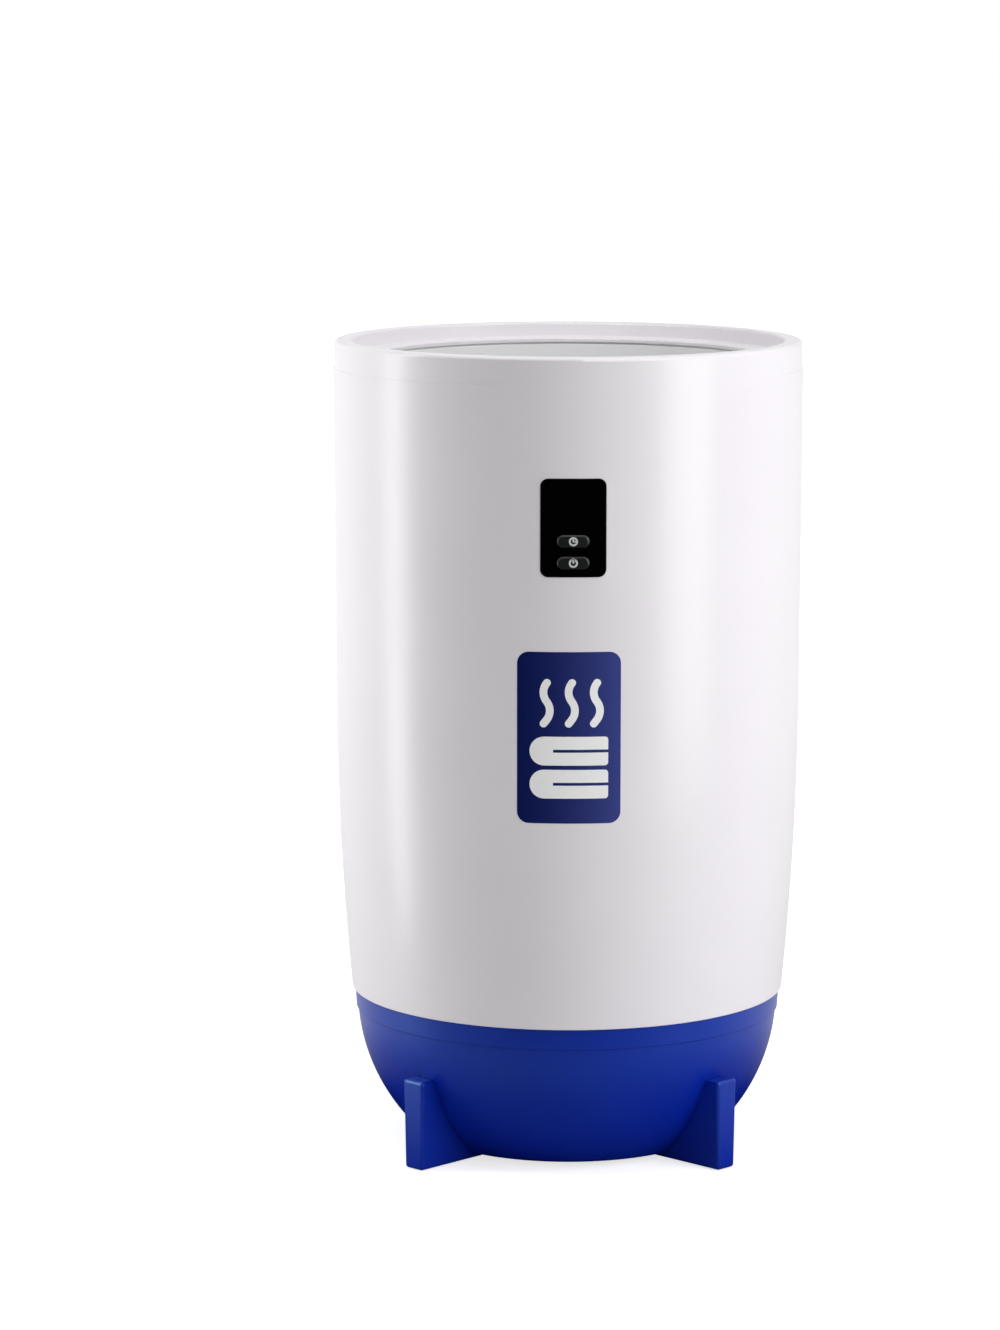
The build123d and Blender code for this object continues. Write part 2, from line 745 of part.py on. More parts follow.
def make_front_panel():
    low = panel_middle - panel_height
    high = panel_middle + panel_height
    lens = forward(panel_outline(), board_front + seat_gap, shell_top_radius + cut_past)
    lens &= body_solid(-panel_proud, low, high)
    edge = lens.edges().filter_by(lambda e: e.center().Y < -lens_back)
    lens = fillet(edge, panel_edge_round)
    flange = forward(panel_outline(panel_flange), panel_flange_back, shell_top_radius)
    lens += flange & body_solid(shell_wall + slip_gap, low, high)
    lens -= forward(panel_outline(-panel_skirt), board_front, lens_back)
    for height in (timer_height, power_height):
        lens -= forward(button_outline(height, button_gap), lip_front, shell_top_radius + cut_past)
    return lens


def make_button(height):
    low = height - button_width
    high = height + button_width
    cap = forward(button_outline(height), lip_front, shell_top_radius + cut_past)
    cap &= body_solid(-panel_proud - button_proud, low, high)
    edge = cap.edges().filter_by(lambda e: e.center().Y < -face_radius)
    cap = fillet(edge, button_round)
    cap += forward(button_outline(height, button_lip), lip_back, lip_front)
    return cap + forward(Pos(0, height) * Circle(button_post_radius), plunger_front, lip_back)


def make_plunger(height):
    rod = forward(Pos(0, height) * Circle(plunger_radius), plunger_back, plunger_front)
    return chamfer(rod.edges().filter_by(GeomType.CIRCLE).sort_by(Axis.Y)[0], plunger_chamfer)


def make_switch(height):
    body = forward(Pos(0, height) * Rectangle(switch_width, switch_width), board_front, switch_front)
    body = chamfer(body.edges().filter_by(Axis.Y), switch_chamfer)
    for x in (-1, 1):
        for z in (-1, 1):
            middle = (x * (switch_width + switch_tab[0]) / 2, height + z * switch_width / 4)
            tab = Pos(*middle) * Rectangle(*switch_tab[:2])
            body += forward(tab, board_front, board_front + switch_tab[2])
    depth = plunger_back - plunger_depth_spare - button_travel
    return body - forward(Pos(0, height) * Circle(plunger_radius + switch_gap), depth, switch_front)


def make_display():
    middle = Pos(0, display_middle)
    front = lens_back - seat_gap
    rim = forward(middle * Rectangle(display_width, display_height), board_front, front)
    window = Rectangle(display_width - 2 * display_rim, display_height - 2 * display_rim)
    return rim - forward(middle * window, front - display_sink, lens_back)


def make_control_board():
    outline = Pos(0, panel_middle) * RectangleRounded(
        control_board_width, control_board_height, control_board_corner)
    board = forward(outline, board_back, board_front)
    for x, z in board_screw_places:
        board -= forward(Pos(x, z) * Circle(board_screw[0] + hole_gap), board_back, board_front)
    return board


def make_control_bracket():
    outline = RectangleRounded(bracket_width, bracket_height, bracket_corner)
    outline -= RectangleRounded(*bracket_opening, bracket_opening_corner)
    plate = forward(Pos(0, panel_middle) * outline, bracket_back, board_back)
    for x, z in bracket_places:
        plate -= forward(Pos(x, z) * Circle(bracket_screw[0] + hole_gap), bracket_back, board_back)
    for x, z in board_screw_places:
        plate -= forward(Pos(x, z) * Circle(board_screw[0] + thread_gap), bracket_back, board_back)
    return plate


def make_harness():
    start = connector_middle - connector_size[2] / 2
    points = [
        (0, -harness_front, start), (0, -harness_front, wire_shelf), (0, -wire_drop_y, wire_shelf),
        (0, -wire_drop_y, wire_turn), (0, -board_edge_y, wire_end_turn),
        (0, -board_edge_y, power_board_top + power_connector_size[2])]
    return wire(points, wire_bend, harness_radius)


def make_heater_leads():
    depth = wrap_outer + heater_clip_size[1] / 2
    leads = []
    for side in (-1, 1):
        x = side * heater_clip_spacing / 2
        points = [
            (x, depth, clip_foot), (x, depth, wire_shelf), (x, wire_drop_y, wire_shelf),
            (x, wire_drop_y, wire_turn), (x, board_edge_y, wire_end_turn),
            (x, board_edge_y, power_board_top + terminal_size[2])]
        leads.append(wire(points, lead_bend, lead_radius))
    return leads


def make_power_board():
    outline = RectangleRounded(*power_board_size, power_board_corner)
    board = extrude(Pos(0, 0, power_board_foot) * outline, amount=board_thickness)
    for place in standoff_places:
        board -= Pos(*place) * disc(power_screw[0] + hole_gap, power_board_foot, power_board_top)
    return board


def make_transformer():
    core = block(transformer_size, transformer_place, power_board_top)
    middle = Pos(transformer_place[0], transformer_place[1], power_board_top + transformer_size[2] / 2)
    core -= middle * Box(transformer_window[0], transformer_size[1] + cut_past, transformer_window[1])
    return core + middle * Cylinder(winding_radius, transformer_window[1])


def make_capacitor():
    can = Pos(*capacitor_place) * disc(capacitor_radius, power_board_top, power_board_top + capacitor_height)
    return fillet(can.edges().group_by(Axis.Z)[-1], capacitor_round)


def make_relay():
    case = block(relay_size, relay_place, power_board_top)
    return fillet(case.faces().sort_by(Axis.Z)[-1].edges(), relay_round)


def make_terminal_block():
    body = block(terminal_size, (0, board_edge_y), power_board_top)
    step = block((terminal_size[0], terminal_size[1] / 3, terminal_size[2] / 3),
                 (0, board_edge_y + terminal_size[1] / 3), power_board_top + terminal_size[2] * 2 / 3)
    return body - step


save("outer_shell", make_outer_shell())
save("top_collar", make_top_collar())
save("liner", make_liner())
save("liner_gasket", make_liner_gasket())
save("liner_screws", *[upright(p, flange_foot) * screw(liner_screw) for p in liner_screw_places])
save("heating_wrap", make_heating_wrap())
save("heater_clips", *make_heater_clips())
save("insulation_sleeve", make_insulation_sleeve())
save("floor_insulation", make_floor_insulation())
save("thermostat", make_thermostat())
save("thermal_fuse", make_thermal_fuse())
save("deck", make_deck())
save("base_ring", make_base_ring())
save("ring_screws", *[upright(p, shelf_foot) * screw(ring_screw) for p in ring_screw_places])
save("base_bowl", make_base_bowl())
save("bowl_screws", *[upright(p, column_top - bowl_wall) * screw(bowl_screw) for p in column_places])
for leg_name, leg_angle in zip(("rear_right", "rear_left", "front_left", "front_right"), leg_angles):
    save("leg_" + leg_name, make_leg(leg_angle))
save("leg_screws", *[outwards(a, leg_pad_face(h), h) * screw(leg_screw_at(h))
                     for a in leg_angles for h in leg_screw_heights])
save("foot_pads", *make_foot_pads())
save("cord_gland", make_cord_gland())
save("front_panel", make_front_panel())
for button_name, button_height in (("timer", timer_height), ("power", power_height)):
    save(button_name + "_button", make_button(button_height))
    save(button_name + "_plunger", make_plunger(button_height))
    save(button_name + "_switch", make_switch(button_height))
save("display_module", make_display())
save("control_board", make_control_board())
save("board_screws", *[to_front(x, z, board_front) * Rot(180, 0, 0) * screw(board_screw)
                       for x, z in board_screw_places])
save("control_bracket", make_control_bracket())
save("bracket_screws", *[to_front(x, z, bracket_back) * screw(bracket_screw) for x, z in bracket_places])
save("control_connector", forward(
    Pos(0, connector_middle) * Rectangle(connector_size[0], connector_size[2]),
    board_back - connector_size[1], board_back))
save("harness", make_harness())
save("heater_leads", *make_heater_leads())
save("power_board", make_power_board())
save("power_board_screws", *[downward(p, power_board_top) * screw(power_screw) for p in standoff_places])
save("relay", make_relay())
save("transformer", make_transformer())
save("capacitor", make_capacitor())
save("terminal_block", make_terminal_block())
save("power_connector", block(power_connector_size, (0, -board_edge_y), power_board_top))
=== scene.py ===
import json
import math
import bpy
import bmesh
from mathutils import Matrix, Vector


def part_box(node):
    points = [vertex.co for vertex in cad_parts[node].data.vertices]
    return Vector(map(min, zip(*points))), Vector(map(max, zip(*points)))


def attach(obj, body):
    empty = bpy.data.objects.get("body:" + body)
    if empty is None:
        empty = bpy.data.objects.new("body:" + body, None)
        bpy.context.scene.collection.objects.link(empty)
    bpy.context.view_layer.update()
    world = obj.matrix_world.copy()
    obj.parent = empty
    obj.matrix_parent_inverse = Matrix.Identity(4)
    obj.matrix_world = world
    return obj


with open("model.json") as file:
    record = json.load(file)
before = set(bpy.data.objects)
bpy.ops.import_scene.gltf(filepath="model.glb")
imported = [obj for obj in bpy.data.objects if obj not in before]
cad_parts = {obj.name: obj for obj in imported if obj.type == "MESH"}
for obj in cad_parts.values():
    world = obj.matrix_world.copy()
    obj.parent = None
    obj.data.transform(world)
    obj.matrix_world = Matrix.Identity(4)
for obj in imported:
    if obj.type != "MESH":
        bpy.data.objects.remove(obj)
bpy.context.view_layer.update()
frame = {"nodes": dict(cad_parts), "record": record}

mm = 0.001
black = (0, 0, 0, 1)
white = (1, 1, 1, 1)
nodes = frame["nodes"]
scene = bpy.context.scene
scene.view_settings.view_transform = "Standard"

# Camera: metres and degrees, aimed from a little above the rim and a little left of the front
camera = {"distance": 2.834, "height": 0.7306, "azimuth": 1.31, "pitch": 8.64, "pan": 0.856,
          "lens": 123.62, "sensor": 36.0, "farClip": 50.0}


def placeCamera():
    turn = math.radians(camera["azimuth"])
    spot = (-camera["distance"] * math.sin(turn), -camera["distance"] * math.cos(turn), camera["height"])
    tilt = math.radians(90 - camera["pitch"])
    bpy.ops.object.camera_add(location=spot, rotation=(tilt, 0, math.radians(camera["pan"]) - turn))
    eye = bpy.context.active_object
    eye.data.lens = camera["lens"]
    eye.data.sensor_width = camera["sensor"]
    eye.data.clip_end = camera["farClip"]
    scene.camera = eye


placeCamera()
print("camera placed")


def toLinear(code):
    parts = [int(code[i:i + 2], 16) / 255 for i in (1, 3, 5)]
    return [c / 12.92 if c <= 0.04045 else ((c + 0.055) / 1.055) ** 2.4 for c in parts] + [1.0]


def addNode(tree, kind, settings=None, links=None):
    # settings: a property or a socket and its value; links: a socket and the output that feeds it
    node = tree.nodes.new(kind)
    for name, value in (settings or {}).items():
        if isinstance(name, str) and hasattr(node, name):
            setattr(node, name, value)
        else:
            node.inputs[name].default_value = value
    for name, source in (links or {}).items():
        tree.links.new(source, node.inputs[name])
    return node


def bareTree(owner):
    # The emptied node tree of a new material or world
    owner.use_nodes = True
    owner.node_tree.nodes.clear()
    return owner.node_tree


def newMaterial(name, settings):
    mat = bpy.data.materials.new(name)
    tree = bareTree(mat)
    shader = addNode(tree, "ShaderNodeBsdfPrincipled", settings)
    addNode(tree, "ShaderNodeOutputMaterial", None, {"Surface": shader.outputs["BSDF"]})
    place = addNode(tree, "ShaderNodeTexCoord").outputs["Object"]
    return mat, tree, shader, place


# How many finer layers a cloudy pattern has, and the part of its range that the gloss follows
noiseLayers = {"soft": 2.0, "grain": 3.0, "ink": 4.0, "fibre": 6.0}
noiseMiddle = (0.2, 0.8)


def cloudy(tree, place, size, layers="soft", stretch=(1, 1, 1)):
    # Patches that are size millimetres across, drawn out along an axis by stretch
    scale = [1 / (size * mm * s) for s in stretch]
    spot = addNode(tree, "ShaderNodeMapping", {"Scale": scale}, {"Vector": place})
    noise = addNode(tree, "ShaderNodeTexNoise", {"Scale": 1.0, "Detail": noiseLayers[layers]},
                    {"Vector": spot.outputs["Vector"]})
    return noise.outputs["Fac"]


def dress(tree, shader, look, tones, bumps):
    # The look's two colours laid out over one pattern, and its shallow relief over another
    low, high = look["colours"]
    mix = addNode(tree, "ShaderNodeMix", {"data_type": "RGBA", "A": toLinear(low), "B": toLinear(high)},
                  {"Factor": tones})
    bump = addNode(tree, "ShaderNodeBump", {"Strength": look["strength"], "Distance": look["depth"] * mm},
                   {"Height": bumps})
    tree.links.new(mix.outputs["Result"], shader.inputs["Base Color"])
    tree.links.new(bump.outputs["Normal"], shader.inputs["Normal"])


def unevenGloss(tree, shader, look, pattern):
    # The roughness wanders softly over a pattern, up to uneven either way
    gloss = addNode(tree, "ShaderNodeMapRange", {
        "interpolation_type": "SMOOTHSTEP", "From Min": noiseMiddle[0], "From Max": noiseMiddle[1],
        "To Min": look["rough"] - look["uneven"], "To Max": look["rough"] + look["uneven"]},
        {"Value": pattern})
    tree.links.new(gloss.outputs["Result"], shader.inputs["Roughness"])


def mouldedPlastic(name, look):
    # Moulded plastic: one even colour, a faint ripple from the tool and slightly uneven gloss
    mat, tree, shader, place = newMaterial(name, {
        "IOR": look["ior"], "Roughness": look["rough"], "Specular IOR Level": look["shine"],
        "Specular Tint": toLinear(look.get("tint", "#FFFFFF"))})
    flow = cloudy(tree, place, look["flow"])
    unevenGloss(tree, shader, look, flow)
    dress(tree, shader, look, flow, cloudy(tree, place, look["grain"], "grain"))
    return mat


def drawnMetal(name, look):
    # Bare metal: patches of two close tones, and fine marks, in which its gloss varies, drawn out by stretch
    mat, tree, shader, place = newMaterial(name, {"Metallic": 1.0, "Roughness": look["rough"]})
    lines = cloudy(tree, place, look["line"], "grain", look["stretch"])
    unevenGloss(tree, shader, look, lines)
    dress(tree, shader, look, cloudy(tree, place, look["flow"]), lines)
    return mat


def crinkledFoil(name, look):
    # Thin rolled aluminium foil: flat creased facets that catch the light one by one
    mat, tree, shader, place = newMaterial(name, {"Metallic": 1.0, "Roughness": look["rough"]})
    facets = addNode(tree, "ShaderNodeTexVoronoi", {"Scale": 1 / (look["crease"] * mm)}, {"Vector": place})
    dress(tree, shader, look, cloudy(tree, place, look["crease"]), facets.outputs["Distance"])
    return mat


def needledFelt(name, look):
    # Needle-punched mineral felt: matted fibres, soft sheen and no gloss
    mat, tree, shader, place = newMaterial(name, {
        "Roughness": look["rough"], "Sheen Weight": look["sheen"], "Sheen Roughness": look["sheenRough"]})
    fibres = cloudy(tree, place, look["fibre"], "fibre", look["stretch"])
    dress(tree, shader, look, fibres, fibres)
    return mat


def circuitBoard(name, look):
    # Glass epoxy under green solder mask: copper tracks show as paler lines that stand slightly proud
    mat, tree, shader, place = newMaterial(name, {"Roughness": look["rough"]})
    tracks = addNode(tree, "ShaderNodeTexBrick", {
        "Scale": 1 / (look["track"] * mm), "Row Height": 1.0, "Brick Width": look["trackRun"],
        "Mortar Size": look["line"], "Mortar Smooth": look["lineEdge"], "Bias": 0.0, "Color1": black,
        "Color2": black, "Mortar": white}, {"Vector": place}).outputs["Color"]
    dress(tree, shader, look, tracks, tracks)
    return mat


# A wave texture runs through this many radians in each unit of its scale
waveRate = 20.0


def laminatedCore(name, look):
    # Stacked silicon steel sheets, lacquered: dark joints between packs of sheets
    mat, tree, shader, place = newMaterial(name, {"Metallic": 1.0, "Roughness": look["rough"]})
    sheets = addNode(tree, "ShaderNodeTexWave", {
        "wave_type": "BANDS", "bands_direction": "Y", "Distortion": 0.0,
        "Scale": 1 / (waveRate * look["radian"] * mm)}, {"Vector": place}).outputs["Fac"]
    dress(tree, shader, look, sheets, sheets)
    return mat


plastics = {
    # polished ABS, the body: nearly white with a breath of violet, satin and faintly rippled
    "white_plastic": ("polishedWhiteAbs", {
        "colours": ("#EDE9EE", "#F1EDF2"), "ior": 1.53, "rough": 0.30, "shine": 0.5, "uneven": 0.02,
        "flow": 60, "grain": 2.4, "depth": 0.03, "strength": 0.10}),
    # ABS coloured through, the base: strong royal blue, satin, its gloss leaning to a pale cyan
    "navy_plastic": ("satinRoyalBlueAbs", {
        "colours": ("#0020A0", "#0024A8"), "ior": 1.53, "rough": 0.31, "shine": 0.75, "uneven": 0.02,
        "flow": 45, "grain": 0.8, "depth": 0.02, "strength": 0.18, "tint": "#B8F4FF"}),
    # baked enamel on drawn aluminium, the chamber: white, satin, with a soft sprayed ripple
    "liner_metal": ("bakedWhiteEnamel", {
        "colours": ("#F6F6F7", "#F9F9FA"), "ior": 1.50, "rough": 0.36, "shine": 0.5, "uneven": 0.04,
        "flow": 70, "grain": 3.0, "depth": 0.03, "strength": 0.15}),
    # cast acrylic, the front panel: deep black and mirror smooth
    "panel_black": ("pianoBlackAcrylic", {
        "colours": ("#020203", "#030304"), "ior": 1.49, "rough": 0.10, "shine": 0.3, "uneven": 0.02,
        "flow": 18, "grain": 3.0, "depth": 0.01, "strength": 0.05}),
    # spark-eroded ABS, the buttons: charcoal and finely frosted
    "button_grey": ("frostedCharcoalAbs", {
        "colours": ("#1B1E1E", "#202323"), "ior": 1.53, "rough": 0.32, "shine": 0.55, "uneven": 0.02,
        "flow": 9, "grain": 0.5, "depth": 0.02, "strength": 0.25}),
    "plunger_white": ("naturalAcetal", {
        "colours": ("#DEDDD6", "#E4E3DC"), "ior": 1.48, "rough": 0.42, "shine": 0.5, "uneven": 0.04,
        "flow": 8, "grain": 0.5, "depth": 0.02, "strength": 0.15}),
    "connector_white": ("naturalNylon", {
        "colours": ("#E2DDCB", "#E8E3D3"), "ior": 1.53, "rough": 0.48, "shine": 0.5, "uneven": 0.04,
        "flow": 10, "grain": 0.6, "depth": 0.02, "strength": 0.20}),
    "grey_plastic": ("greyPolypropylene", {
        "colours": ("#8E9196", "#979A9F"), "ior": 1.49, "rough": 0.52, "shine": 0.5, "uneven": 0.05,
        "flow": 40, "grain": 1.1, "depth": 0.03, "strength": 0.25}),
    "switch_black": ("glassFilledBlackNylon", {
        "colours": ("#161617", "#1F1F21"), "ior": 1.53, "rough": 0.55, "shine": 0.5, "uneven": 0.05,
        "flow": 6, "grain": 0.4, "depth": 0.03, "strength": 0.30}),
    "relay_blue": ("blueThermoplasticPolyester", {
        "colours": ("#17407F", "#1B478A"), "ior": 1.57, "rough": 0.25, "shine": 0.5, "uneven": 0.03,
        "flow": 12, "grain": 0.8, "depth": 0.02, "strength": 0.12}),
    "terminal_green": ("greenPolyamide", {
        "colours": ("#1E7A45", "#23844C"), "ior": 1.53, "rough": 0.45, "shine": 0.5, "uneven": 0.04,
        "flow": 10, "grain": 0.6, "depth": 0.02, "strength": 0.20}),
    "wire_red": ("redSiliconeInsulation", {
        "colours": ("#8E1C18", "#99211C"), "ior": 1.42, "rough": 0.45, "shine": 0.5, "uneven": 0.05,
        "flow": 12, "grain": 0.7, "depth": 0.02, "strength": 0.20}),
    "silicone": ("mouldedWhiteSilicone", {
        "colours": ("#ECECED", "#F1F1F2"), "ior": 1.42, "rough": 0.60, "shine": 0.5, "uneven": 0.05,
        "flow": 20, "grain": 0.9, "depth": 0.03, "strength": 0.20}),
    # moulded rubber, the foot pads and the gland: no gloss and a dusty bloom
    "rubber_grey": ("darkGreyRubber", {
        "colours": ("#3A3A3E", "#47474B"), "ior": 1.52, "rough": 0.78, "shine": 0.5, "uneven": 0.06,
        "flow": 8, "grain": 0.7, "depth": 0.05, "strength": 0.35}),
    "rubber_black": ("softBlackPvc", {
        "colours": ("#141415", "#1C1C1E"), "ior": 1.53, "rough": 0.58, "shine": 0.5, "uneven": 0.06,
        "flow": 8, "grain": 0.6, "depth": 0.04, "strength": 0.30}),
    "can_metal": ("printedPetSleeve", {
        "colours": ("#22283C", "#293048"), "ior": 1.57, "rough": 0.30, "shine": 0.5, "uneven": 0.04,
        "flow": 9, "grain": 0.8, "depth": 0.02, "strength": 0.15}),
}
metals = {
    "screw_steel": ("zincPlatedSteel", {
        "colours": ("#B4B7BC", "#C3C5C8"), "rough": 0.30, "uneven": 0.06, "flow": 3,
        "line": 0.3, "stretch": (1, 1, 1), "depth": 0.01, "strength": 0.20}),
    "brass_clip": ("stampedBrass", {
        "colours": ("#C49A45", "#D2AB5A"), "rough": 0.28, "uneven": 0.06, "flow": 4,
        "line": 0.3, "stretch": (1, 1, 12), "depth": 0.01, "strength": 0.20}),
}
foil = {"colours": ("#C9CBCE", "#DCDEE0"), "rough": 0.24, "crease": 6.0, "depth": 0.35, "strength": 0.6}
felt = {"colours": ("#BDB9AE", "#DAD6CC"), "rough": 0.95, "sheen": 0.3, "sheenRough": 0.5, "fibre": 1.2,
        "stretch": (4, 4, 1), "depth": 0.4, "strength": 0.7}
board = {"colours": ("#0E4A2A", "#1D6B3D"), "rough": 0.35, "track": 2.2, "trackRun": 4.0, "line": 0.12,
         "lineEdge": 0.1, "depth": 0.035, "strength": 0.6}
# One radian of the wave takes 1 mm, so each pack of sheets is 6.3 mm thick
core = {"colours": ("#2C2C2E", "#5A5A5D"), "rough": 0.45, "radian": 1.0, "depth": 0.05, "strength": 0.6}


def makeMaterials():
    made = {slot: mouldedPlastic(*recipe) for slot, recipe in plastics.items()}
    made.update({slot: drawnMetal(*recipe) for slot, recipe in metals.items()})
    made["heater_foil"] = crinkledFoil("rolledAluminiumFoil", foil)
    made["felt"] = needledFelt("mineralFelt", felt)
    made["board_green"] = circuitBoard("solderMaskedGlassEpoxy", board)
    made["core_steel"] = laminatedCore("laminatedSiliconSteel", core)
    return made


finish = makeMaterials()
for part in frame["record"]["subparts"]:
    slots = nodes[part["node"]].data.materials
    slots.clear()
    slots.append(finish[part["material_slot"]])
print("materials made:", len(finish))


def selectOnly(piece):
    bpy.ops.object.select_all(action="DESELECT")
    piece.select_set(True)
    bpy.context.view_layer.objects.active = piece


def applyPlace(piece):
    selectOnly(piece)
    bpy.ops.object.transform_apply(location=True, rotation=True, scale=True)


# Prints are drawn flat in front of the body, at this y in millimetres, and then laid on what carries them
printPlane = -200.0
cornerSteps = 10
smoothAngle = 30.0
# A fully rounded end is this much short of a half circle, so that its two corners stay apart
cornerSpare = 0.02


def flatSheet(name, middle, size, lean=0.0):
    # An upright flat sheet that faces the front; middle and size in millimetres, leaning to the right
    bpy.ops.object.select_all(action="DESELECT")
    bpy.ops.mesh.primitive_plane_add(size=1, location=(middle[0] * mm, printPlane * mm, middle[1] * mm),
                                     rotation=(math.pi / 2, lean, 0))
    sheet = bpy.context.active_object
    sheet.name = name
    sheet.scale = (size[0] * mm, size[1] * mm, 1)
    applyPlace(sheet)
    return sheet


def pickVerts(piece, test):
    # Leaves edit mode on, with the vertices selected whose place in millimetres passes the test
    selectOnly(piece)
    bpy.ops.object.mode_set(mode="EDIT")
    bpy.ops.mesh.select_mode(type="VERT")
    bpy.ops.mesh.select_all(action="DESELECT")
    mesh = bmesh.from_edit_mesh(piece.data)
    for vert in mesh.verts:
        vert.select_set(test(*[c / mm for c in vert.co]))
    mesh.select_flush(True)
    bmesh.update_edit_mesh(piece.data)


def dropFaces(piece, test):
    # Deletes the faces whose middle in millimetres passes the test
    selectOnly(piece)
    bpy.ops.object.mode_set(mode="EDIT")
    bpy.ops.mesh.select_mode(type="FACE")
    bpy.ops.mesh.select_all(action="DESELECT")
    mesh = bmesh.from_edit_mesh(piece.data)
    for face in mesh.faces:
        face.select_set(test(*[c / mm for c in face.calc_center_median()]))
    bmesh.update_edit_mesh(piece.data)
    bpy.ops.mesh.delete(type="FACE")
    bpy.ops.object.mode_set(mode="OBJECT")


def cutAt(piece, across, place):
    # Slices the whole piece with an upright plane at an x, or a level one at a z
    normal = (1, 0, 0) if across == "x" else (0, 0, 1)
    selectOnly(piece)
    bpy.ops.object.mode_set(mode="EDIT")
    bpy.ops.mesh.select_all(action="SELECT")
    bpy.ops.mesh.bisect(plane_co=[n * place * mm for n in normal], plane_no=normal)
    bpy.ops.object.mode_set(mode="OBJECT")


def roundCorners(piece, radius, test=lambda x, y, z: True):
    pickVerts(piece, test)
    bpy.ops.mesh.bevel(affect="VERTICES", offset=radius * mm, segments=cornerSteps, profile=0.5)
    bpy.ops.object.mode_set(mode="OBJECT")


def joinAll(name, parts):
    bpy.ops.object.select_all(action="DESELECT")
    for part in parts:
        part.select_set(True)
    bpy.context.view_layer.objects.active = parts[0]
    bpy.ops.object.join()
    parts[0].name = name
    return parts[0]


def layOn(piece, carrier, look):
    # Slices a flat print finely, drops it onto the curved face behind it and gives it a thickness
    spots = [vert.co / mm for vert in piece.data.vertices]
    for across, i, pitch in (("x", 0, look["slices"][0]), ("z", 2, look["slices"][1])):
        low, high = min(spot[i] for spot in spots), max(spot[i] for spot in spots)
        for k in range(math.ceil(low / pitch), math.ceil(high / pitch)):
            cutAt(piece, across, k * pitch)
    wrap = piece.modifiers.new("wrap", "SHRINKWRAP")
    wrap.target = carrier
    wrap.wrap_method = "PROJECT"
    wrap.use_project_y = True
    wrap.use_positive_direction = True
    wrap.use_negative_direction = False
    wrap.offset = look["lift"] * mm
    wall = piece.modifiers.new("wall", "SOLIDIFY")
    wall.thickness = look["depth"] * mm
    wall.offset = -1
    selectOnly(piece)
    bpy.ops.object.modifier_apply(modifier="wrap")
    bpy.ops.object.modifier_apply(modifier="wall")
    bpy.ops.object.shade_smooth_by_angle(angle=math.radians(smoothAngle))


def copyAside(piece, right, up):
    # A copy with its own mesh, moved by millimetres
    selectOnly(piece)
    bpy.ops.object.duplicate()
    bpy.ops.transform.translate(value=(right * mm, 0, up * mm))
    twin = bpy.context.active_object
    applyPlace(twin)
    return twin


def paintLightAcross(tree, shader, look, place, ink):
    # Painted light: the print grows paler towards its right edge, a painted brightening and sheen
    low, high = look["paintedLightTo"]
    middle, half = look["middle"][0] * mm, look["size"][0] / 2 * mm
    near = shader.inputs["Base Color"].links[0].from_socket
    far = addNode(tree, "ShaderNodeMix", {"data_type": "RGBA", "A": toLinear(low), "B": toLinear(high)},
                  {"Factor": ink}).outputs["Result"]
    across = addNode(tree, "ShaderNodeSeparateXYZ", None, {"Vector": place}).outputs["X"]
    share = addNode(tree, "ShaderNodeMapRange", {"From Min": middle - half, "From Max": middle + half},
                    {"Value": across}).outputs["Result"]
    bent = addNode(tree, "ShaderNodeMath", {"operation": "POWER", 1: look["paintedLightBend"]},
                   {0: share}).outputs[0]
    lightPainted = addNode(tree, "ShaderNodeMix", {"data_type": "RGBA"}, {"Factor": bent, "A": near, "B": far})
    tree.links.new(lightPainted.outputs["Result"], shader.inputs["Base Color"])


# Over every print; its depth is that of the mottle, and not the print's own thickness
varnish = {"ior": 1.49, "shine": 0.3, "depth": 0.01, "strength": 0.2}


def printedInk(name, look):
    # Screen-printed ink under a satin varnish: flat colour with a trace of the screen's mottle
    mat, tree, shader, place = newMaterial(name, {
        "IOR": varnish["ior"], "Roughness": look["rough"], "Specular IOR Level": varnish["shine"]})
    ink = cloudy(tree, place, look["mottle"], "ink")
    dress(tree, shader, {**look, **varnish}, ink, ink)
    # Painted light: on the label, a painted brightening and sheen towards its right edge
    if "paintedLightTo" in look:
        paintLightAcross(tree, shader, look, place, ink)
    return mat


# The label under the panel: a plain plate, printed dark blue, with painted light making it paler to the
# right
label = {
    "middle": (-2.3, 277.8), "size": (62.0, 104.0), "corner": 7.0, "lift": 0.12, "depth": 0.10,
    "slices": (2.0, 8.0), "colours": ("#051656", "#07195C"), "rough": 0.26, "mottle": 0.7,
    # painted light: the paler colours painted at the right edge, and how late they set in
    "paintedLightTo": ("#394389", "#3D478F"), "paintedLightBend": 1.5}


def makeLabel():
    plate = flatSheet("frontLabel", label["middle"], label["size"])
    roundCorners(plate, label["corner"])
    layOn(plate, nodes["outer_shell"], label)
    plate.data.materials.append(printedInk("blueLabelInkAndPaintedLight", label))
    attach(plate, "housing")


makeLabel()
print("label laid on")

# The label's picture: two folded towels under rising heat; places are from the label's middle
picture = {
    "lift": 0.18, "depth": 0.07, "slices": (2.0, 8.0), "colours": ("#FAFAFB", "#FEFEFE"), "rough": 0.34,
    "mottle": 0.7, "towelSize": (47.0, 17.5), "towelHeights": (-28.0, -7.9), "foldRound": 8.6,
    "endRound": 2.0, "endReach": 0.1, "slit": 1.8, "slitLength": 33.0,
    "waveSpots": (-15.0, 0.0, 15.0), "waveFoot": 9.0, "stroke": 4.6, "bend": 9.0, "lean": 38.0, "end": 2.6,
    "steps": 9}


